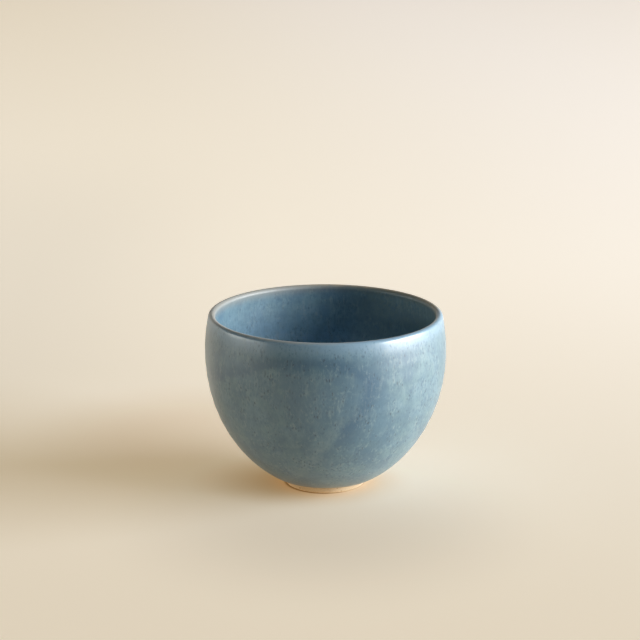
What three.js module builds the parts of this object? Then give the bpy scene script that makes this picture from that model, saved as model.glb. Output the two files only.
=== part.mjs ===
// A thrown stoneware cup without a handle: a round bowl on a low foot ring, glazed inside and out.
// Millimetres, +Z up. The Z axis is the cup's axis, and z = 0 is the surface that it stands on.
import * as THREE from 'three';

// Finished outside of the bowl
const bellyRadius = 45; // at the widest point
const cupHeight = 66; // from the ground to the lip's crest
const shoulderRise = 14.6; // from the widest point up to the lip's crest
const lipInset = 1.45; // how far the lip's outer face lies inside the widest point

// Wall and floor, with their glaze
const lipThickness = 2.7;
const wallThickness = 3.6;
const floorThickness = 4.6; // from the hollow under the foot up to the floor inside
const floorFillet = 6; // how softly the wall runs into the floor inside

// Glaze coats
const coatThickness = 0.45;
const lipCoatThickness = 0.25; // the glaze runs off the lip while it melts
const bareBand = 1.4; // clay left bare between the foot and the glaze

// Foot ring
const footRadius = 15.1; // outside, at the ground
const footHeight = 2.3;
const footWidth = 4; // of the ring, at the ground
const footFlare = 0.5; // how much wider the ring is at its top
const footEdgeRadius = 0.5;
const heelLedge = 0.4; // how far the base stands out beyond the ring's top

// Steps of the curves
const turnSteps = 56;
const bareSteps = 2;
const outsideSteps = 14;
const insideSteps = 16;
const lipSteps = 4; // from each face of the lip to its crest
const edgeSteps = 3;

// Each half of the bowl's outline is a quarter ellipse, level with the widest point.
const bellyHeight = cupHeight - shoulderRise;
const baseRadius = footRadius + footFlare + heelLedge;
const baseCosine = baseRadius / (bellyRadius - coatThickness);
const lowerRise = coatThickness + (bellyHeight - footHeight) / Math.sqrt(1 - baseCosine ** 2);
const lipRadius = lipThickness / 2;
const lipCosine = 1 - lipInset / (bellyRadius - lipRadius);
const lipAngle = Math.acos(lipCosine);
const upperRise = lipRadius + (shoulderRise - lipRadius) / Math.sin(lipAngle);
const floorHeight = footHeight + floorThickness;
const baseAngle = -Math.acos(baseCosine);
const glazeLineAngle = Math.asin((footHeight + bareBand - bellyHeight) / lowerRise);
const floorAngle = -Math.PI / 2;

const { lerp, smoothstep } = THREE.MathUtils;

// Thickness of the wall and of its coats at an angle above the widest point
function wallAt(angle) {
  return lerp(wallThickness, lipThickness, smoothstep(angle, 0, lipAngle));
}

function coatAt(angle) {
  return lerp(coatThickness, lipCoatThickness, smoothstep(angle, 0, lipAngle));
}

// The point at a depth under the finished outside
function bowlPoint(angle, depth) {
  const rise = angle < 0 ? lowerRise : upperRise;
  return new THREE.Vector2(
    (bellyRadius - depth) * Math.cos(angle),
    bellyHeight + (rise - depth) * Math.sin(angle),
  );
}

// The same point, held up by a floor that the wall runs into softly
function insidePoint(angle, depth, floor) {
  const point = bowlPoint(angle, depth);
  const share = THREE.MathUtils.clamp(0.5 + (point.y - floor) / (2 * floorFillet), 0, 1);
  point.y = lerp(floor, point.y, share) + floorFillet * share * (1 - share);
  return point;
}

function arc(centre, radius, from, to, steps) {
  return sweep(from, to, steps, (angle) => new THREE.Vector2(
    centre.x + radius * Math.cos(angle),
    centre.y + radius * Math.sin(angle),
  ));
}

function sweep(from, to, steps, pointAt) {
  return Array.from({ length: steps + 1 }, (_, i) => pointAt(lerp(from, to, i / steps)));
}

// Joins stretches that share their end points into one outline
function join(...stretches) {
  return stretches.flatMap((points, i) => (i === 0 ? points : points.slice(1)));
}

function reversed(points) {
  return [...points].reverse();
}

// Outside face of the clay, bare near the foot, and the glaze over it
const bareClay = sweep(baseAngle, glazeLineAngle, bareSteps, (angle) => bowlPoint(angle, coatThickness));
const clayOutside = sweep(glazeLineAngle, lipAngle, outsideSteps, (angle) => bowlPoint(angle, coatAt(angle)));
const glazeOutside = sweep(glazeLineAngle, lipAngle, outsideSteps, (angle) => bowlPoint(angle, 0));

// Inside face of the clay, and the glaze over it
const clayInside = sweep(lipAngle, floorAngle, insideSteps, (angle) => (
  insidePoint(angle, wallAt(angle) - coatAt(angle), floorHeight - coatThickness)
));
const glazeInside = sweep(lipAngle, floorAngle, insideSteps, (angle) => (
  insidePoint(angle, wallAt(angle), floorHeight)
));

// The lip is half round, and its two coats meet at the crest.
const crest = Math.PI / 2;
const lipCentre = bowlPoint(lipAngle, lipRadius);
const clayLipRadius = lipRadius - lipCoatThickness;
const clayLipOutside = arc(lipCentre, clayLipRadius, lipAngle, crest, lipSteps);
const clayLipInside = arc(lipCentre, clayLipRadius, crest, lipAngle + Math.PI, lipSteps);
const glazeLipOutside = arc(lipCentre, lipRadius, lipAngle, crest, lipSteps);
const glazeLipInside = arc(lipCentre, lipRadius, crest, lipAngle + Math.PI, lipSteps);

// The outer coat ends above the foot in a rounded edge.
const rollCentre = bowlPoint(glazeLineAngle, coatThickness / 2);
const glazeRoll = arc(rollCentre, coatThickness / 2, glazeLineAngle - Math.PI, glazeLineAngle, edgeSteps);

const baseCentre = new THREE.Vector2(0, footHeight);
const clayBodyOutline = [
  baseCentre,
  ...join(bareClay, clayOutside, clayLipOutside, clayLipInside, clayInside),
];

const outerGlazeOutline = [
  ...join(glazeRoll, glazeOutside, glazeLipOutside),
  ...join(reversed(clayLipOutside), reversed(clayOutside)),
];

const linerGlazeOutline = [
  ...join(reversed(clayInside), reversed(clayLipInside)),
  ...join(glazeLipInside, glazeInside),
];

// The ring stands on a flat face with rounded edges, and its top seats on the flat base.
const footInnerRadius = footRadius - footWidth;
const footTopRadius = footRadius + footFlare;
const innerEdge = new THREE.Vector2(footInnerRadius + footEdgeRadius, footEdgeRadius);
const outerEdge = new THREE.Vector2(footRadius - footEdgeRadius, footEdgeRadius);
const footRingOutline = [
  ...arc(innerEdge, footEdgeRadius, -Math.PI, -Math.PI / 2, edgeSteps),
  ...arc(outerEdge, footEdgeRadius, -Math.PI / 2, 0, edgeSteps),
  new THREE.Vector2(footTopRadius, footHeight),
  new THREE.Vector2(footInnerRadius, footHeight),
  new THREE.Vector2(footInnerRadius, footEdgeRadius),
];

const clay = { color: 0xd0bda2, roughness: 0.9, metalness: 0 };
const glaze = { color: 0x7c97a4, roughness: 0.35, metalness: 0 };

// Turns an outline about the cup's axis
function turned(name, outline, finish) {
  const geometry = new THREE.LatheGeometry(outline, turnSteps).rotateX(Math.PI / 2);
  const piece = new THREE.Mesh(geometry, new THREE.MeshStandardMaterial(finish));
  piece.name = name;
  return piece;
}

const cup = new THREE.Group();
cup.add(
  turned('clay_body', clayBodyOutline, clay),
  turned('foot_ring', footRingOutline, clay),
  turned('outer_glaze', outerGlazeOutline, glaze),
  turned('liner_glaze', linerGlazeOutline, glaze),
);

export default cup;
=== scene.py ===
"""Looks of a thrown stoneware cup: two glaze coats, the clay body and its foot ring, on a pale floor."""

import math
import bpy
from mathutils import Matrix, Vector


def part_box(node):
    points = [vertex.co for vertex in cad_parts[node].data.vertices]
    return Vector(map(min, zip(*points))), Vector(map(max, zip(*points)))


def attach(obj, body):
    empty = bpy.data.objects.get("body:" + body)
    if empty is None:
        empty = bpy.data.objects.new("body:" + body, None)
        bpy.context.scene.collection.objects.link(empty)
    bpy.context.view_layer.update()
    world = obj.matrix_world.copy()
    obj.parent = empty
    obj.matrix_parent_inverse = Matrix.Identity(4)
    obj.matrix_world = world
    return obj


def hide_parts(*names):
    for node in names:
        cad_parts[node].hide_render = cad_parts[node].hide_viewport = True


bl_info = {
    "name": "Thrown stoneware cup",
    "version": (1, 0, 0),
    "blender": (4, 5, 0),
    "location": "3D View > Sidebar > Cup",
    "description": "Builds a glazed stoneware cup around its packed frame",
    "category": "Object",
}

from types import SimpleNamespace

import bmesh
import bpy
from bpy.props import FloatProperty, FloatVectorProperty, PointerProperty
from mathutils import Vector, noise

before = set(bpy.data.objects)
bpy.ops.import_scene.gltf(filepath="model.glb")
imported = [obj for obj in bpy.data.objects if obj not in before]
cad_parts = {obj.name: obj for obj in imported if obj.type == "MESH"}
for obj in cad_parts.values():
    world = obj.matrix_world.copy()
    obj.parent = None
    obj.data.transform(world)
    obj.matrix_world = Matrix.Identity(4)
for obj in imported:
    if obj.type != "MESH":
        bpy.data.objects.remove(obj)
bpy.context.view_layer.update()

MM = 0.001

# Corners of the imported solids' boxes, in metres
outer_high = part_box("outer_glaze")[1]
liner_low, liner_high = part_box("liner_glaze")
clay_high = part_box("clay_body")[1]
foot_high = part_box("foot_ring")[1]

# Steps of the curves
TURN_STEPS = 224
OUTSIDE_STEPS = 72
INSIDE_STEPS = 72
LIP_STEPS = 10
ROLL_STEPS = 8
BARE_STEPS = 6
EDGE_STEPS = 8
GROOVE_STEPS = 6
MERGE_DISTANCE = 1e-7
SHARP_ANGLE = math.radians(38)

# Stray of the hand-made form
GRIP_START = 2  # in heights of the foot ring
GRIP_RISE = 0.3  # in heights of the cup
OVAL_TURN = 0.7
WANDER_WAVES = 2.5  # along the cup's height


def length(name, description, default):
    """A size that a user may change."""
    return FloatProperty(name=name, description=description, default=default, unit="LENGTH", precision=5)


def power(name, description, default):
    """A lamp's power that a user may change."""
    return FloatProperty(name=name, description=description, default=default, unit="POWER")


def colour(name, description, default):
    """A colour that a user may change, in linear values."""
    return FloatVectorProperty(
        name=name, description=description, default=default, subtype="COLOR", size=3, min=0, max=1
    )


class CupSizes(bpy.types.PropertyGroup):
    """Sizes of the cup, glaze included."""

    belly_radius: length("Belly radius", "Outside radius at the widest point", outer_high.x)
    cup_height: length("Height", "From the ground to the lip's crest", outer_high.z)
    shoulder_rise: length("Shoulder", "From the widest point up to the crest", 14.6 * MM)
    crest_radius: length("Crest radius", "Radius of the lip's crest", liner_high.x)
    lip_thickness: length("Lip", "Thickness of the lip", 2.7 * MM)
    wall_thickness: length("Wall", "Thickness of the wall at the belly", 3.6 * MM)
    floor_fillet: length("Floor fillet", "How softly the wall runs into the floor", 6 * MM)
    coat: length("Coat", "Thickness of the glaze", outer_high.x - clay_high.x)
    lip_coat: length("Lip coat", "Thickness of the glaze on the lip", outer_high.z - clay_high.z)
    clay_floor: length("Clay floor", "Height of the clay floor inside", liner_low.z)
    glaze_line: length("Glaze line", "Height where the outer coat stops", 3.7 * MM)
    base_radius: length("Base radius", "Radius of the flat clay base", 16 * MM)
    foot_height: length("Foot height", "Height of the foot ring", foot_high.z)
    foot_top_radius: length("Foot top radius", "Outside radius of the foot ring's top", foot_high.x)
    foot_radius: length("Foot radius", "Outside radius of the foot ring at the ground", 15.1 * MM)
    foot_width: length("Foot width", "Width of the foot ring at the ground", 4 * MM)
    foot_edge: length("Foot edge", "Rounding of the foot ring's edges", 0.5 * MM)
    ring_depth: length("Throwing rings", "Height of the soft rings that throwing leaves", 0.05 * MM)
    ring_pitch: length("Ring pitch", "Rise from one throwing ring to the next", 5.5 * MM)
    wander: length("Wander", "How far the hand-made form strays from round", 0.12 * MM)
    groove_depth: length("Groove depth", "Depth of the turning grooves under the base", 0.06 * MM)
    groove_pitch: length("Groove pitch", "Distance between the turning grooves", 1.1 * MM)


class CupColours(bpy.types.PropertyGroup):
    """Colours of the cup's glaze and clay."""

    glaze: colour("Glaze", "Main colour of the glaze", (0.202, 0.334, 0.408))
    deep: colour("Deep glaze", "Glaze where it lies thick", (0.112, 0.214, 0.296))
    # Also painted as a reflection: a pale streak inside the edge of the front reflection.
    pale: colour("Pale glaze", "Fine crystals in the glaze", (0.335, 0.450, 0.475))
    speck: colour("Specks", "Dark specks in the glaze", (0.055, 0.095, 0.135))
    # Painted light: the inside is painted lighter and bluer towards the bottom, for light bounced inside.
    pool: colour("Pooled glaze", "Glaze that has run down inside", (0.242, 0.475, 0.715))
    # Painted shade: darker and bluer down the front, where the glaze reflects little light.
    drift: colour("Drift", "Bluer glaze that has run down the front", (0.105, 0.225, 0.325))
    # Painted reflection: a dark line along the edge of the room's reflection at the front.
    seam: colour("Seam", "Thick glaze where two dips overlap at the front", (0.036, 0.114, 0.222))
    teal: colour("Teal glaze", "Greener drifts in the glaze", (0.195, 0.322, 0.355))
    # Painted sheen: the shoulder below the lip and the crest at the right front are painted paler and bluer.
    lip: colour("Lip", "Thin glaze on the lip and the shoulder", (0.310, 0.480, 0.620))
    # Thin glaze over clay on the lip, partly painted light: browner at the shaded right, paler cream at the
    # lit left.
    brown: colour("Brown", "Thin glaze inside the lip", (0.220, 0.175, 0.112))
    cream: colour("Cream", "Clay that shows through the lip's glaze at the left", (0.420, 0.400, 0.350))
    # Painted highlights on the crest at the left and on the front crest's inner edge, and a painted
    # reflection down the far left side.
    painted_highlight: colour("Chalk", "Pale thin glaze on the crest and the left side", (0.540, 0.540, 0.490))
    # Painted reflection: the shaded right inside wall is painted greyer.
    painted_inner_reflection: colour("Moss", "Greyer glaze inside at the right", (0.175, 0.255, 0.240))
    clay: colour("Clay", "Bare fired clay", (0.650, 0.530, 0.370))
    grog: colour("Grog", "Dark grains in the clay", (0.300, 0.180, 0.090))


class CupStage(bpy.types.PropertyGroup):
    """Floor, light and camera."""

    card_power: power("Card", "Power of the dim light at the left", 26)
    window_power: power("Window", "Power of the low light at the right", 240)
    floor: colour("Floor", "Colour of the floor", (0.960, 0.990, 1.000))
    bounce: colour("Bounce", "Colour of the floor for the light that it throws back", (0.430, 0.420, 0.360))
    glare: colour("Glare", "The same at the right and behind", (0.900, 0.850, 0.780))
    # Painted contact shadow on the floor at the foot.
    contact_shadow: colour("Contact", "Colour of the floor right at the foot", (0.340, 0.190, 0.060))
    shade: colour("Shade", "Colour of the floor close to the foot, in the shadow", (0.520, 0.350, 0.200))
    glow: colour("Glow", "Warm light that the floor keeps in the shadow", (0.430, 0.320, 0.180))
    far_glow: colour("Haze", "The same far behind and at the right", (0.450, 0.360, 0.280))
    ember: colour("Ember", "The same close to the foot", (0.280, 0.173, 0.074))
    kindle: colour("Kindle", "Light that the floor throws on the foot", (0.600, 0.400, 0.180))
    backdrop: colour("Backdrop", "What shows beyond the floor", (0.880, 0.790, 0.690))
    sweep: colour("Sweep", "Warm light from the backdrop behind the cup", (1.000, 0.940, 0.820))
    room: colour("Room", "Dim light from the room on the camera's side", (0.062, 0.074, 0.076))
    distance: length("Camera distance", "From the camera to the middle of the cup", 0.800)
    lens: FloatProperty(name="Lens", description="Focal length in millimetres", default=119.5)
    elevation: FloatProperty(
        name="Elevation",
        description="Camera's angle above the cup",
        default=math.radians(17.28),
        subtype="ANGLE",
    )


# Outline of the cup


class Bowl:
    """The cup's turned outline, worked out from its sizes. Points are (radius, height)."""

    def __init__(self, sizes):
        self.sizes = sizes
        self.belly_height = sizes.cup_height - sizes.shoulder_rise
        base_cosine = sizes.base_radius / (sizes.belly_radius - sizes.coat)
        drop = self.belly_height - sizes.foot_height
        self.lower_rise = sizes.coat + drop / math.sqrt(1 - base_cosine**2)
        self.base_angle = -math.acos(base_cosine)
        self.lip_radius = sizes.lip_thickness / 2
        self.lip_angle = math.acos(sizes.crest_radius / (sizes.belly_radius - self.lip_radius))
        lip_rise = sizes.shoulder_rise - self.lip_radius
        self.upper_rise = self.lip_radius + lip_rise / math.sin(self.lip_angle)
        self.line_angle = math.asin((sizes.glaze_line - self.belly_height) / self.lower_rise)
        self.lip_centre = self.point(self.lip_angle, self.lip_radius)

    def towards_lip(self, angle, low, high):
        share = min(max(angle / self.lip_angle, 0), 1)
        return low + (high - low) * share * share * (3 - 2 * share)

    def wall_at(self, angle):
        return self.towards_lip(angle, self.sizes.wall_thickness, self.sizes.lip_thickness)

    def coat_at(self, angle):
        return self.towards_lip(angle, self.sizes.coat, self.sizes.lip_coat)

    def point(self, angle, depth):
        """The point at a depth under the finished outside."""
        rise = self.lower_rise if angle < 0 else self.upper_rise
        radius = (self.sizes.belly_radius - depth) * math.cos(angle)
        return radius, self.belly_height + (rise - depth) * math.sin(angle)

    def inside_point(self, angle, depth, floor):
        """The same point, held up by a floor that the wall runs into softly."""
        radius, height = self.point(angle, depth)
        fillet = self.sizes.floor_fillet
        share = min(max(0.5 + (height - floor) / (2 * fillet), 0), 1)
        return radius, floor + (height - floor) * share + fillet * share * (1 - share)

    def outside(self, depth_at):
        return sweep(self.line_angle, self.lip_angle, OUTSIDE_STEPS, lambda a: self.point(a, depth_at(a)))

    def inside(self, depth_at, floor):
        return sweep(
            self.lip_angle, -math.pi / 2, INSIDE_STEPS, lambda a: self.inside_point(a, depth_at(a), floor)
        )

    def clay_outside(self):
        return self.outside(self.coat_at)

    def glaze_outside(self):
        return self.outside(lambda a: 0)

    def clay_inside(self):
        return self.inside(lambda a: self.wall_at(a) - self.coat_at(a), self.sizes.clay_floor)

    def glaze_inside(self):
        return self.inside(self.wall_at, self.sizes.clay_floor + self.sizes.coat)

    def lip_outside(self, depth):
        radius = self.lip_radius - depth
        return arc(self.lip_centre, radius, self.lip_angle, math.pi / 2, LIP_STEPS)

    def lip_inside(self, depth):
        radius = self.lip_radius - depth
        return arc(self.lip_centre, radius, math.pi / 2, self.lip_angle + math.pi, LIP_STEPS)


def sweep(start, end, steps, point_at):
    return [point_at(start + (end - start) * i / steps) for i in range(steps + 1)]


def arc(centre, radius, start, end, steps):
    x, z = centre
    return sweep(start, end, steps, lambda a: (x + radius * math.cos(a), z + radius * math.sin(a)))


def joined(*stretches):
    """Stretches that share their end points, as one outline."""
    return [p for i, points in enumerate(stretches) for p in (points if i == 0 else points[1:])]


# Meshes


def stray(point, sizes):
    """How far the hand-made form leaves the true round at a point, along its radius."""
    turn = math.atan2(point.y, point.x)
    height = point.z / sizes.cup_height
    start = GRIP_START * sizes.foot_height
    grip = min(max((point.z - start) / (GRIP_RISE * sizes.cup_height), 0), 1)
    rings = math.sin(math.tau * point.z / sizes.ring_pitch - turn) * sizes.ring_depth
    oval = math.cos(2 * turn + OVAL_TURN) * height * sizes.wander
    place = Vector((math.cos(turn), math.sin(turn), WANDER_WAVES * height))
    drift = noise.noise(place) * sizes.wander
    return grip * (rings * (1 - height**4) + oval + drift)


def turned(name, outline, sizes, closed=False):
    """A new object: the outline turned about the cup's axis, with the slight stray of a hand-made form."""
    bm = bmesh.new()
    verts = [bm.verts.new((radius, 0, height)) for radius, height in outline]
    edges = [bm.edges.new(pair) for pair in zip(verts, verts[1:])]
    if closed:
        edges.append(bm.edges.new((verts[-1], verts[0])))
    bmesh.ops.spin(
        bm,
        geom=verts + edges,
        cent=(0, 0, 0),
        axis=(0, 0, 1),
        angle=math.tau,
        steps=TURN_STEPS,
        use_merge=True,
    )
    bmesh.ops.remove_doubles(bm, verts=bm.verts, dist=MERGE_DISTANCE)
    bmesh.ops.recalc_face_normals(bm, faces=bm.faces)
    for vert in bm.verts:
        across = math.hypot(vert.co.x, vert.co.y)
        if across > sizes.foot_edge:
            scale = 1 + stray(vert.co, sizes) / across
            vert.co.x *= scale
            vert.co.y *= scale
    for face in bm.faces:
        face.smooth = True
    piece = placed(name, bm)
    piece.data.set_sharp_from_angle(angle=SHARP_ANGLE)
    return piece


def placed(name, bm):
    """A new object in the scene, with its mesh from a bmesh."""
    mesh = bpy.data.meshes.new(name)
    bm.to_mesh(mesh)
    bm.free()
    piece = bpy.data.objects.new(name, mesh)
    bpy.context.scene.collection.objects.link(piece)
    return piece


def seat(piece, node, material):
    """Puts a finished piece in the place of its solid."""
    piece.data.materials.append(material)
    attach(piece, "root")
    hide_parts(node)


# Finishes


class Shade:
    """One output of a shader node. Operators between it and numbers add Math nodes."""

    def __init__(self, finish, socket):
        self.finish = finish
        self.socket = socket

    def __add__(self, other):
        return self.finish.maths("ADD", self, other)

    def __radd__(self, other):
        return self.finish.maths("ADD", other, self)

    def __sub__(self, other):
        return self.finish.maths("SUBTRACT", self, other)

    def __rsub__(self, other):
        return self.finish.maths("SUBTRACT", other, self)

    def __mul__(self, other):
        return self.finish.maths("MULTIPLY", self, other)

    def __rmul__(self, other):
        return self.finish.maths("MULTIPLY", other, self)

    def __pow__(self, other):
        return self.finish.maths("POWER", self, other)


class Finish:
    """A node tree that is being built."""

    def __init__(self, tree):
        self.tree = tree
        tree.nodes.clear()

    def node(self, kind, settings, sockets, output):
        """Adds a node. Its settings come first, then the values or links of its sockets."""
        made = self.tree.nodes.new("ShaderNode" + kind)
        for key, value in settings.items():
            setattr(made, key, value)
        inputs = {socket.identifier: socket for socket in made.inputs}
        for key, value in sockets.items():
            if isinstance(value, Shade):
                self.tree.links.new(value.socket, inputs[key])
            else:
                inputs[key].default_value = value
        outputs = {socket.identifier: socket for socket in made.outputs}
        return Shade(self, outputs[output]) if output else made

    def maths(self, operation, first, second):
        return self.node("Math", {"operation": operation}, {"Value": first, "Value_001": second}, "Value")

    def lesser(self, first, second, rounding):
        """The lesser of two values, rounded where they cross."""
        sockets = {"Value": first, "Value_001": second, "Value_002": rounding}
        return self.node("Math", {"operation": "SMOOTH_MIN"}, sockets, "Value")

    def mix(self, share, first, second):
        """A colour between two others, which are outputs of nodes or red, green and blue."""
        first, second = (tint if isinstance(tint, Shade) else (*tint, 1) for tint in (first, second))
        sockets = {"Factor_Float": share, "A_Color": first, "B_Color": second}
        return self.node("Mix", {"data_type": "RGBA"}, sockets, "Result_Color")

    def step(self, value, low, high):
        """Rises softly from 0 at low to 1 at high."""
        sockets = {"Value": value, "From Min": low, "From Max": high}
        return self.node("MapRange", {"interpolation_type": "SMOOTHSTEP"}, sockets, "Result")

    def drawn(self, point, share):
        """The point with its height scaled. A share under 1 draws a pattern out along the height."""
        sockets = {"Vector": point, "Vector_001": (1, 1, share)}
        return self.node("VectorMath", {"operation": "MULTIPLY"}, sockets, "Vector")

    def clouds(self, point, scale, detail, roughness):
        sockets = {"Vector": point, "Scale": scale, "Detail": detail, "Roughness": roughness}
        return self.node("TexNoise", {}, sockets, "Fac")

    def cells(self, point, scale, output):
        return self.node("TexVoronoi", {}, {"Vector": point, "Scale": scale}, output)

    def shifted(self, point, scale, distance):
        """A point moved about by noise, up to about a distance, so that round cells turn ragged."""
        tint = self.node("TexNoise", {}, {"Vector": point, "Scale": scale, "Detail": 1.0}, "Color")
        sockets = {"Vector": tint, "Vector_001": (distance, distance, distance), "Vector_002": point}
        return self.node("VectorMath", {"operation": "MULTIPLY_ADD"}, sockets, "Vector")

    def split(self, vector):
        parts = self.node("SeparateXYZ", {}, {"Vector": vector}, None)
        return [Shade(self, socket) for socket in parts.outputs]

    def rays(self):
        """Whether a ray comes from the camera, from a reflection or through something clear."""
        kinds = ("Camera", "Glossy", "Transmission")
        return [self.node("LightPath", {}, {}, f"Is {kind} Ray") for kind in kinds]

    def bump(self, height, strength, distance):
        sockets = {"Height": height, "Strength": strength, "Distance": distance}
        return self.node("Bump", {}, sockets, "Normal")

    def surface(self, sockets):
        shader = self.node("BsdfPrincipled", {}, sockets, "BSDF")
        self.node("OutputMaterial", {}, {"Surface": shader}, None)


def new_material(name):
    material = bpy.data.materials.new(name)
    material.use_nodes = True
    return material


def reach(side, away):
    """The distance that two distances at right angles make."""
    return (side * side + away * away) ** 0.5


# Glaze. A fade is none at its first value and full at its second.

GLAZE_NAME = "satin_glaze"

# Noise: waves per metre, detail and roughness
CLOUD_NOISE = (90, 4, 0.6)
TINGE_NOISE = (130, 2, 0.5)
PATCH_NOISE = (190, 2, 0.5)
BLOTCH_NOISE = (240, 3, 0.6)
EDGE_NOISE = (260, 3, 0.6)
MOTTLE_NOISE = (430, 2, 0.6)
RUN_NOISE = (620, 2, 0.6)
GRAIN_NOISE = (1250, 3, 0.7)

# Specks and their ragged edges, per metre
SPECK_SCALE = 1000
RAG_SCALE = 1100

# How far noise is drawn out along the height: less is longer
CLOUD_DRAW = 0.6
BLOTCH_DRAW = 0.7
RUN_DRAW = 0.22
GRAIN_DRAW = 0.5

# How far noise moves the specks and the lip's and foot's edges
RAG_REACH = 0.9 * MM
EDGE_REACH = 0.8 * MM

# Values of the noise where marks begin and are full
CLOUD_FADE = (0.33, 0.66)
TEAL_FADE = (0.42, 0.62)
PATCH_FADE = (0.40, 0.62)
BLOTCH_FADE = (0.56, 0.40)
MOTTLE_FADE = (0.58, 0.42)
RUN_FADE = (0.52, 0.70)
PALE_GRAIN_FADE = (0.50, 0.70)
DEEP_GRAIN_FADE = (0.50, 0.30)
SPECK_FADE = (0.42, 0.12)
SPECK_PICK = (0.48, 0.70)

# Depths below the lip's crest
LIP_FADE = (1.2 * MM, 0.2 * MM)
RIM_FADE = (3.0 * MM, 1.0 * MM)
# Painted sheen on the shoulder below the lip
SHOULDER_FADE = (8.0 * MM, 0.5 * MM)
BROWN_FADE = (4.2 * MM, -1.5 * MM)
# At the lit left the pale band inside the lip reaches deeper: a painted highlight.
BROWN_DROP = 1.5 * MM  # how much deeper it reaches at the left

# Heights above the ground, and above the glaze line
# Painted light inside, growing towards the bottom
INNER_LIGHT_FADE = (61 * MM, 36 * MM)
FOOT_FADE = (2.2 * MM, 0.3 * MM)

# Places across the cup, to the right and to the back of its axis
RIGHT_FADE = (-22 * MM, 18 * MM)
# Painted reflection on the shaded right inside wall
INNER_REFLECTION_FADE = (0, 25 * MM)
# Painted reflection down the cup's far left side
LEFT_FADE = (-36 * MM, -45 * MM)
FRONT_FADE = (5 * MM, -20 * MM)
BACK_FADE = (-5 * MM, 10 * MM)
INSIDE_FADE = (0.97, 0.92)  # as a share of the outside's ellipse, squared

# Painted shade: a darker, bluer band down the front, where the glaze reflects little light
FRONT_SHADE_SIDE = 11 * MM
FRONT_SHADE_SWAY = 30 * MM
FRONT_SHADE_FADE = (280 * MM * MM, 20 * MM * MM)  # of the distance from its middle, squared
FRONT_SHADE_RISE = (12 * MM, 36 * MM)

# Painted reflection: the dark edge of the dark room's reflection at the front, an arc that turns into a
# slanted line at the right
REFLECTION_EDGE_SIDE = 7 * MM
REFLECTION_EDGE_TOP = 58.5 * MM
REFLECTION_EDGE_BEND = 11.0
REFLECTION_EDGE_SLANT = (0.53, 0.85)
REFLECTION_EDGE_REACH = 11 * MM
REFLECTION_EDGE_ROUNDING = 14 * MM
REFLECTION_EDGE_SWAY = 3.5 * MM
REFLECTION_EDGE_OUTER = (-5.5 * MM, -0.5 * MM)
REFLECTION_EDGE_INNER = (2.5 * MM, 0)
REFLECTION_EDGE_RISE = (16 * MM, 34 * MM)

# Painted reflection: a pale streak along the inner side of the reflection's dark edge, where it slants
STREAK_OUTER = (1 * MM, 3 * MM)
STREAK_INNER = (8 * MM, 4 * MM)
STREAK_DROP = (44 * MM, 32 * MM)

# Relief of the glaze
GLAZE_BUMP = 0.14
GLAZE_BUMP_DEPTH = 0.05 * MM


def glaze_texture(finish, point):
    """Noise of the glaze, from broad clouds to fine grain and specks."""
    fine = finish.drawn(point, GRAIN_DRAW)
    ragged = finish.shifted(fine, RAG_SCALE, RAG_REACH)
    pick = finish.split(finish.cells(ragged, SPECK_SCALE, "Color"))[0]
    specks = finish.step(finish.cells(ragged, SPECK_SCALE, "Distance"), *SPECK_FADE)
    patches = finish.step(finish.clouds(point, *PATCH_NOISE), *PATCH_FADE)
    blotches = finish.clouds(finish.drawn(point, BLOTCH_DRAW), *BLOTCH_NOISE)
    return SimpleNamespace(
        clouds=finish.clouds(finish.drawn(point, CLOUD_DRAW), *CLOUD_NOISE),
        tinge=finish.clouds(point, *TINGE_NOISE),
        patches=patches,
        blotches=finish.step(blotches, *BLOTCH_FADE),
        mottle=finish.step(finish.clouds(point, *MOTTLE_NOISE), *MOTTLE_FADE),
        runs=finish.clouds(finish.drawn(point, RUN_DRAW), *RUN_NOISE),
        grain=finish.clouds(fine, *GRAIN_NOISE),
        specks=specks * finish.step(pick, *SPECK_PICK) * (0.35 + patches * 0.65),
        edge=finish.clouds(point, *EDGE_NOISE) * EDGE_REACH,
    )


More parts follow.
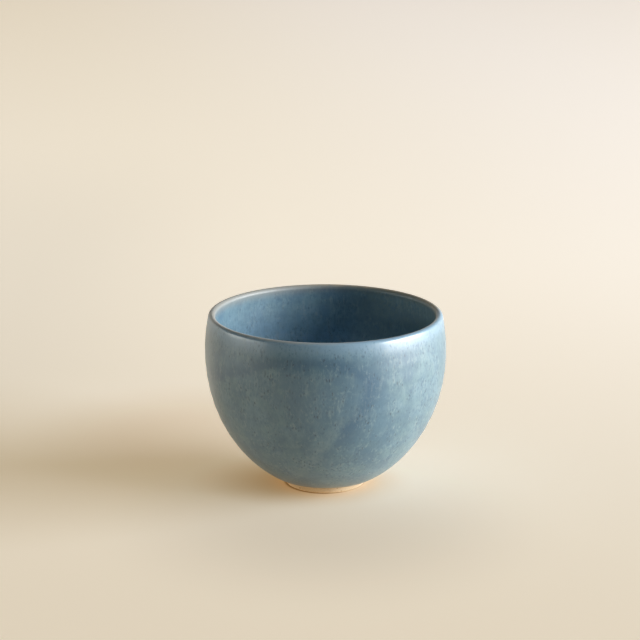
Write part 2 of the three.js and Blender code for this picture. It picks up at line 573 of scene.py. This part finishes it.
def glaze_places(finish, point, bowl, texture):
    """Where on the cup the glaze changes and where light, shade and reflections are painted, as masks from 0
    to 1.
    """
    sizes = bowl.sizes
    x, y, z = finish.split(point)
    across = reach(x, y) * (1 / sizes.belly_radius)
    above = (z - bowl.belly_height) * (1 / bowl.lower_rise)
    inside = finish.step(across * across + above * above, *INSIDE_FADE)
    outside = 1 - inside
    right = finish.step(x, *RIGHT_FADE)
    front = finish.step(y, *FRONT_FADE)
    below_crest = sizes.cup_height - z + texture.edge
    above_line = z - sizes.glaze_line + texture.edge * 0.5
    brown = finish.step(below_crest - (1 - right) * BROWN_DROP, *BROWN_FADE)
    # Painted light: lighter and bluer towards the bottom inside.
    pool = finish.step(z, *INNER_LIGHT_FADE) * 0.80 + 0.20

    # Painted shade: a darker, bluer band down the front.
    sway = x + (texture.clouds - 0.5) * FRONT_SHADE_SWAY - FRONT_SHADE_SIDE
    drift = finish.step(sway * sway, *FRONT_SHADE_FADE) * finish.step(z, *FRONT_SHADE_RISE)

    # Painted reflection: the dark edge of the room's reflection at the front.
    bow = x + REFLECTION_EDGE_SIDE
    under = REFLECTION_EDGE_TOP - bow * bow * REFLECTION_EDGE_BEND - z
    beside = z * REFLECTION_EDGE_SLANT[0] - x * REFLECTION_EDGE_SLANT[1] - REFLECTION_EDGE_REACH
    within = finish.lesser(under, beside, REFLECTION_EDGE_ROUNDING) + (texture.tinge - 0.5) * REFLECTION_EDGE_SWAY
    seam = finish.step(within, *REFLECTION_EDGE_OUTER) * finish.step(within, *REFLECTION_EDGE_INNER)
    # Painted reflection: a pale streak just inside that dark edge.
    streak = finish.step(within, *STREAK_OUTER) * finish.step(within, *STREAK_INNER)
    return SimpleNamespace(
        inside=inside,
        outside=outside,
        right=right,
        # Painted reflection down the far left side
        left=finish.step(x, *LEFT_FADE),
        front=front,
        back=finish.step(y, *BACK_FADE),
        lip=finish.step(below_crest, *LIP_FADE),
        rim=finish.step(below_crest, *RIM_FADE),
        # Painted sheen on the shoulder below the lip; specks, grain and blotches fade under it.
        shoulder=finish.step(below_crest, *SHOULDER_FADE) * outside,
        brown=brown * inside,
        pool=pool * inside,
        # Painted reflection on the shaded right inside wall
        grey=finish.step(x, *INNER_REFLECTION_FADE) * inside,
        foot=finish.step(above_line, *FOOT_FADE),
        drift=drift * front * outside,
        seam=seam * finish.step(z, *REFLECTION_EDGE_RISE) * front * outside,
        streak=streak * finish.step(z, *STREAK_DROP) * front * outside,
    )


def glaze_colour(finish, colours, texture, at):
    """The glaze's colour: layers over its deep colour, each with its share of the surface. Some layers are
    painted light, shade, sheen and reflections.
    """
    busy = (0.55 + texture.patches * 1.05) * (1 - at.inside * 0.25) * (1 - at.shoulder * 0.6)
    blotches = texture.blotches * at.outside * (1 - at.shoulder)
    # The lip's thin glaze, painted cream at the lit left and brown at the shaded right.
    thin_glaze_lit_and_shaded = finish.mix(at.right, colours.cream, colours.brown)
    # The crest takes the painted sheen at the right front and shows clay at the back right.
    right_crest = finish.mix(at.back, colours.lip, colours.clay)
    layers = (
        (finish.step(texture.clouds, *CLOUD_FADE), colours.glaze),
        (finish.step(texture.tinge, *TEAL_FADE) * 0.45, colours.teal),
        # painted shade down the front
        (at.drift * 0.70, colours.drift),
        # painted reflection: dark edge of the room's reflection
        (at.seam * 0.50, colours.seam),
        # painted reflection: pale streak inside the edge
        (at.streak * 0.30, colours.pale),
        # painted light inside, towards the bottom
        (at.pool * 0.80, colours.pool),
        # painted reflection on the shaded right inside wall
        (at.grey * 0.85, colours.painted_inner_reflection),
        # painted sheen on the shoulder
        (at.shoulder * 0.95, colours.lip),
        (texture.mottle * at.inside * 0.24 + blotches * 0.36, colours.deep),
        (finish.step(texture.runs, *RUN_FADE) * busy * 0.24, colours.pale),
        (finish.step(texture.grain, *PALE_GRAIN_FADE) * busy * 0.34, colours.pale),
        (finish.step(texture.grain, *DEEP_GRAIN_FADE) * busy * 0.85, colours.deep),
        (texture.specks * 0.85, colours.speck),
        # thin glaze inside the lip and on its crest, painted paler at the lit left and browner at the shaded
        # right
        (at.brown * 0.75, thin_glaze_lit_and_shaded),
        (at.lip * 0.75, finish.mix(at.right, colours.cream, right_crest)),
        # painted highlights on the left crest and the front crest's inner edge; painted reflection down the
        # far left side
        ((at.lip * (1 - at.right) * 0.80 + at.left * 0.26) * at.outside, colours.painted_highlight),
        (at.lip * at.inside * at.front * 0.90, colours.painted_highlight),
        (at.foot * 0.15, colours.clay),
    )
    base = colours.deep
    for share, tint in layers:
        base = finish.mix(share, base, tint)
    return base


def glaze_finish(colours, bowl):
    """Satin blue-grey glaze with clouds, runs, pale crystals and dark specks, thin and warm along the lip,
    with painted sheen, highlights, reflections, shade and inner light.
    """
    material = new_material(GLAZE_NAME)
    finish = Finish(material.node_tree)
    point = finish.node("TexCoord", {}, {}, "Object")
    texture = glaze_texture(finish, point)
    at = glaze_places(finish, point, bowl, texture)
    texture.specks = texture.specks * (1 - at.inside * 0.6) * (1 - at.shoulder * 0.8)
    relief = texture.grain + texture.runs * 0.6 - texture.specks * 0.8
    finish.surface({
        "Base Color": glaze_colour(finish, colours, texture, at),
        "Roughness": 0.40 + texture.grain * 0.10 + at.rim * (0.10 - at.front * 0.25),
        "IOR": 1.75,
        "Coat Weight": (0.20 + texture.clouds * 0.14) * (1 - at.rim * (0.70 - at.front * 1.10)),
        "Coat Roughness": 0.16,
        "Normal": finish.bump(relief, GLAZE_BUMP, GLAZE_BUMP_DEPTH),
    })
    return material


# Clay

CLAY_NAME = "buff_clay"

# Noise as for the glaze, dark grains per metre, and the values where marks begin and are full
STAIN_NOISE = (110, 3, 0.55)
GRIT_NOISE = (1900, 3, 0.65)
GROG_SCALE = 640
STAIN_FADE = (0.30, 0.70)
GRIT_FADE = (0.55, 0.30)
GROG_FADE = (0.26, 0.12)
GROG_PICK = (0.72, 0.85)

# Relief of the clay
CLAY_BUMP = 0.6
CLAY_BUMP_DEPTH = 0.08 * MM


def clay_finish(colours):
    """Bare fired clay: buff, dry and gritty, with a few dark grains."""
    material = new_material(CLAY_NAME)
    finish = Finish(material.node_tree)
    point = finish.node("TexCoord", {}, {}, "Object")
    stains = finish.step(finish.clouds(point, *STAIN_NOISE), *STAIN_FADE)
    grit = finish.clouds(point, *GRIT_NOISE)
    pick = finish.split(finish.cells(point, GROG_SCALE, "Color"))[0]
    grains = finish.step(finish.cells(point, GROG_SCALE, "Distance"), *GROG_FADE)
    grains = grains * finish.step(pick, *GROG_PICK)
    shade = stains * 0.22 + finish.step(grit, *GRIT_FADE) * 0.20
    base = finish.mix(shade, colours.clay, colours.grog)
    finish.surface({
        "Base Color": finish.mix(grains * 0.7, base, colours.grog),
        "Roughness": 0.80 + grit * 0.15,
        "Normal": finish.bump(grit - grains, CLAY_BUMP, CLAY_BUMP_DEPTH),
    })
    return material


# Floor. Distances are in metres, to the right and to the back of the cup's axis.

BLACK = (0, 0, 0)
FLOOR_RADIUS = 8.0
FLOOR_SEGMENTS = 96
FLOOR_FADE = (-0.2, 0.4)
NEAR_SHARES = (0.63, 0.63, 0.62)  # of the floor's colour, close to the camera

# Shade at the foot, and the shadow that drifts to the back left
SHADE_CENTRE = 9.5 * MM
SHADE_STRETCH = 1.35
SHADE_FADE = (4 * MM, 46 * MM)
SHADOW_PLACE = (55 * MM, 55 * MM)
SHADOW_FADE = (80 * MM, 15 * MM)
SHADOW_SHARE = 0.31

# Painted contact shadow: a dark line where the foot meets the floor, wider at the left
CONTACT_LEAN = (-4 * MM, 14 * MM)
CONTACT_FADE = (14.8 * MM, 16.4 * MM)

# Painted shade: dimmer floor ahead of the cup and far to the left
AHEAD_CENTRE = 45 * MM
AHEAD_FADE = (90 * MM, 15 * MM)
AHEAD_SHARE = 0.18
DIM_LEFT = (-0.03, -0.16)
DIM_START = (0.05, 0.15)
DIM_END = (0.75, 0.30)
DIM_SHARE = 0.09

# Light that the floor throws back on the cup
ROOM_FADE = (-0.40, -0.26)
GLARE_LEAN = 0.8
GLARE_FADE = (-0.06, 0.09)
GLOW_LEAST = 0.15
KINDLE_OUT = (22 * MM, 16 * MM)
KINDLE_SIDE = (16 * MM, 2 * MM)

# Painted light: the floor's glow turns bluer far behind and at the right
GLOW_FAR_LEAN = 0.25
GLOW_FAR_FADE = (0, 0.5)


def floor_finish(stage):
    """Pale floor with a warm shadow at the foot. It throws back less light than the camera sees on it."""
    material = new_material("floor")
    finish = Finish(material.node_tree)
    side, away, _ = finish.split(finish.node("TexCoord", {}, {}, "Object"))
    camera, glossy, through = finish.rays()
    seen = finish.step(camera + glossy + through, 0, 1)

    out = reach(side, away)
    shadow = finish.step(reach(side + SHADOW_PLACE[0], away - SHADOW_PLACE[1]), *SHADOW_FADE)
    clear = finish.step(reach(side + SHADE_CENTRE, away * SHADE_STRETCH), *SHADE_FADE)
    clear = clear * (1 - shadow * SHADOW_SHARE)
    contact_shadow = finish.step(out + finish.step(side, *CONTACT_LEAN) * MM, *CONTACT_FADE)
    ahead = finish.step(reach(side, away + AHEAD_CENTRE), *AHEAD_FADE)
    dim = finish.step(side, *DIM_LEFT) * finish.step(away, *DIM_START) * finish.step(away, *DIM_END)
    around = (1 - ahead * AHEAD_SHARE) * (1 - dim * DIM_SHARE)
    lit = finish.step(finish.step(away, *ROOM_FADE) + camera, 0, 1)
    bright = finish.step(away + side * GLARE_LEAN, *GLARE_FADE)

    near = tuple(value * share for value, share in zip(stage.floor, NEAR_SHARES))
    tone = finish.mix(finish.step(away, *FLOOR_FADE), near, stage.floor)
    tone = finish.mix(contact_shadow, stage.contact_shadow, finish.mix(clear, stage.shade, tone))
    tone = finish.mix(around, BLACK, tone)
    bounced = finish.mix(bright, stage.bounce, stage.glare)
    base = finish.mix(lit, stage.room, finish.mix(seen, bounced, tone))

    far = finish.step(away * GLOW_FAR_LEAN + side, *GLOW_FAR_FADE)
    shown = finish.mix(clear, stage.ember, finish.mix(far, stage.glow, stage.far_glow))
    shown = finish.mix(contact_shadow * around, BLACK, shown)
    thrown = finish.mix(clear * (GLOW_LEAST + bright * (1 - GLOW_LEAST)), BLACK, stage.glow)
    kindled = finish.step(out, *KINDLE_OUT) * finish.step(side, *KINDLE_SIDE)
    thrown = finish.mix(kindled, thrown, stage.kindle)
    glow = finish.mix(lit, BLACK, finish.mix(seen, thrown, shown))

    # From below the floor is clear, so that the foot shows.
    sockets = {
        "Base Color": base,
        "Roughness": 0.9,
        "Specular IOR Level": 0.2,
        "Emission Color": glow,
        "Emission Strength": 1.0,
    }
    above = finish.node("BsdfPrincipled", {}, sockets, "BSDF")
    below = finish.node("BsdfTransparent", {}, {}, "BSDF")
    under = finish.node("NewGeometry", {}, {}, "Backfacing")
    both = finish.node("MixShader", {}, {"Fac": under, "Shader": above, "Shader_001": below}, "Shader")
    finish.node("OutputMaterial", {}, {"Surface": both}, None)
    return material


# Operators


def settings(context):
    scene = context.scene
    return scene.cup_sizes, scene.cup_colours, scene.cup_stage


def material_named(name, make):
    """The material of that name, made on first use."""
    return bpy.data.materials.get(name) or make()


class CUP_OT_glaze_coats(bpy.types.Operator):
    """Build the outer coat and the liner, which meet at the lip's crest"""

    bl_idname = "cup.glaze_coats"
    bl_label = "Glaze coats"

    def execute(self, context):
        sizes, colours, _ = settings(context)
        bowl = Bowl(sizes)
        glaze = material_named(GLAZE_NAME, lambda: glaze_finish(colours, bowl))
        roll_centre = bowl.point(bowl.line_angle, sizes.coat / 2)
        roll = arc(roll_centre, sizes.coat / 2, bowl.line_angle - math.pi, bowl.line_angle, ROLL_STEPS)
        outside = joined(roll, bowl.glaze_outside(), bowl.lip_outside(0))
        back = joined(bowl.lip_outside(sizes.lip_coat)[::-1], bowl.clay_outside()[::-1])
        outer = turned("outer_coat", outside + back[:-1], sizes, closed=True)
        seat(outer, "outer_glaze", glaze)
        under = joined(bowl.clay_inside()[::-1], bowl.lip_inside(sizes.lip_coat)[::-1])
        inside = joined(bowl.lip_inside(0), bowl.glaze_inside())
        liner = turned("liner_coat", under + inside, sizes)
        seat(liner, "liner_glaze", glaze)
        return {"FINISHED"}


class CUP_OT_clay_body(bpy.types.Operator):
    """Build the thrown wall and floor, with turning grooves under the base"""

    bl_idname = "cup.clay_body"
    bl_label = "Clay body"

    def execute(self, context):
        sizes, colours, _ = settings(context)
        bowl = Bowl(sizes)
        clay = material_named(CLAY_NAME, lambda: clay_finish(colours))
        recess = sizes.foot_radius - sizes.foot_width
        grooves = int(recess / sizes.groove_pitch)
        grooved = grooves * sizes.groove_pitch
        base = sweep(0, grooved, grooves * GROOVE_STEPS, lambda r: (r, self.groove(r, sizes)))
        bare = sweep(bowl.base_angle, bowl.line_angle, BARE_STEPS, lambda a: bowl.point(a, sizes.coat))
        outline = joined(
            bare,
            bowl.clay_outside(),
            bowl.lip_outside(sizes.lip_coat),
            bowl.lip_inside(sizes.lip_coat),
            bowl.clay_inside(),
        )
        body = turned("thrown_body", base + outline, sizes)
        seat(body, "clay_body", clay)
        return {"FINISHED"}

    @staticmethod
    def groove(radius, sizes):
        wave = 1 - math.cos(math.tau * radius / sizes.groove_pitch)
        return sizes.foot_height + wave * sizes.groove_depth / 2


class CUP_OT_foot_ring(bpy.types.Operator):
    """Build the unglazed ring that the cup stands on"""

    bl_idname = "cup.foot_ring"
    bl_label = "Foot ring"

    def execute(self, context):
        sizes, colours, _ = settings(context)
        clay = material_named(CLAY_NAME, lambda: clay_finish(colours))
        inner = sizes.foot_radius - sizes.foot_width
        edge = sizes.foot_edge
        outline = [
            *arc((inner + edge, edge), edge, -math.pi, -math.pi / 2, EDGE_STEPS),
            *arc((sizes.foot_radius - edge, edge), edge, -math.pi / 2, 0, EDGE_STEPS),
            (sizes.foot_top_radius, sizes.foot_height),
            (inner, sizes.foot_height),
        ]
        ring = turned("standing_ring", outline, sizes, closed=True)
        seat(ring, "foot_ring", clay)
        return {"FINISHED"}


# Lamps, in metres
WINDOW_PLACE = (3.4, -0.6, 0.99)
WINDOW_SIZE = (3.0, 1.95)
WINDOW_COLOUR = (1.0, 1.0, 1.0)
FACING_LEFT = (math.pi / 2, 0, math.pi / 2)
CARD_PLACE = (-4.0, -0.7, 0.39)
CARD_SIZE = (3.6, 0.76)
CARD_COLOUR = (1.0, 1.0, 0.95)
FACING_RIGHT = (math.pi / 2, 0, -math.pi / 2)

# Directions in which the bright backdrop lies
SWEEP_AWAY = (-0.45, 0.10)
SWEEP_UP = (0.42, 0.10)

# Camera
IMAGE_SIDE = 640
SENSOR_WIDTH = 36.0
CUP_MIDDLE = 33 * MM
CUP_MIDDLE_PIXEL = (325.7, 396.9)


class CUP_OT_stage(bpy.types.Operator):
    """Build the floor, the light and the camera"""

    bl_idname = "cup.stage"
    bl_label = "Stage"

    def execute(self, context):
        stage = context.scene.cup_stage
        self.floor(stage)
        self.lamp("window", WINDOW_PLACE, FACING_LEFT, WINDOW_SIZE, WINDOW_COLOUR, stage.window_power)
        self.lamp("card", CARD_PLACE, FACING_RIGHT, CARD_SIZE, CARD_COLOUR, stage.card_power)
        self.light(context.scene, stage)
        self.camera(context.scene, stage)
        context.scene.view_settings.view_transform = "Standard"
        return {"FINISHED"}

    @staticmethod
    def floor(stage):
        bm = bmesh.new()
        bmesh.ops.create_circle(bm, cap_ends=True, radius=FLOOR_RADIUS, segments=FLOOR_SEGMENTS)
        floor = placed("floor", bm)
        floor.data.materials.append(floor_finish(stage))

    @staticmethod
    def lamp(name, place, turn, size, tint, energy):
        data = bpy.data.lights.new(name, "AREA")
        data.shape = "RECTANGLE"
        data.size, data.size_y = size
        data.energy = energy
        data.color = tint
        lamp = bpy.data.objects.new(name, data)
        lamp.location = place
        lamp.rotation_euler = turn
        lamp.visible_camera = False
        bpy.context.scene.collection.objects.link(lamp)

    @staticmethod
    def light(scene, stage):
        """A dim room with a bright backdrop. Camera and reflections see the backdrop in its own colour."""
        world = bpy.data.worlds.new("room")
        world.use_nodes = True
        finish = Finish(world.node_tree)
        _, away, up = finish.split(finish.node("TexCoord", {}, {}, "Generated"))
        behind = finish.step(away, *SWEEP_AWAY) * finish.step(up, *SWEEP_UP)
        camera, glossy, through = finish.rays()
        seen = finish.step(camera + (glossy + through) * behind, 0, 1)
        tint = finish.mix(seen, finish.mix(behind, stage.room, stage.sweep), stage.backdrop)
        background = finish.node("Background", {}, {"Color": tint, "Strength": 1.0}, "Background")
        finish.node("OutputWorld", {}, {"Surface": background}, None)
        scene.world = world

    @staticmethod
    def camera(scene, stage):
        """A camera that puts the cup's middle on its pixel."""
        focal = stage.lens / SENSOR_WIDTH * IMAGE_SIDE
        right, down = (pixel - IMAGE_SIDE / 2 for pixel in CUP_MIDDLE_PIXEL)
        data = bpy.data.cameras.new("camera")
        data.lens = stage.lens
        data.sensor_width = SENSOR_WIDTH
        camera = bpy.data.objects.new("camera", data)
        back = -stage.distance * math.cos(stage.elevation)
        camera.location = (0, back, CUP_MIDDLE + stage.distance * math.sin(stage.elevation))
        pitch = stage.elevation - math.atan(down / focal)
        camera.rotation_euler = (math.pi / 2 - pitch, 0, math.atan(right / focal))
        scene.collection.objects.link(camera)
        scene.camera = camera


class CUP_PT_panel(bpy.types.Panel):
    """The cup's pieces, sizes and colours"""

    bl_idname = "CUP_PT_panel"
    bl_label = "Thrown cup"
    bl_space_type = "VIEW_3D"
    bl_region_type = "UI"
    bl_category = "Cup"

    def draw(self, context):
        for operator in PIECES:
            self.layout.operator(operator.bl_idname)
        for group in settings(context):
            for name in group.__annotations__:
                self.layout.prop(group, name)


PIECES = (CUP_OT_clay_body, CUP_OT_foot_ring, CUP_OT_glaze_coats, CUP_OT_stage)
GROUPS = {"cup_sizes": CupSizes, "cup_colours": CupColours, "cup_stage": CupStage}


def register():
    for cls in (*GROUPS.values(), *PIECES, CUP_PT_panel):
        bpy.utils.register_class(cls)
    for name, group in GROUPS.items():
        setattr(bpy.types.Scene, name, PointerProperty(type=group))


def unregister():
    for name in GROUPS:
        delattr(bpy.types.Scene, name)
    for cls in (CUP_PT_panel, *reversed(PIECES), *GROUPS.values()):
        bpy.utils.unregister_class(cls)


def main():
    register()
    bpy.ops.cup.clay_body()
    bpy.ops.cup.foot_ring()
    bpy.ops.cup.glaze_coats()
    bpy.ops.cup.stage()


if __name__ == "__main__":
    main()
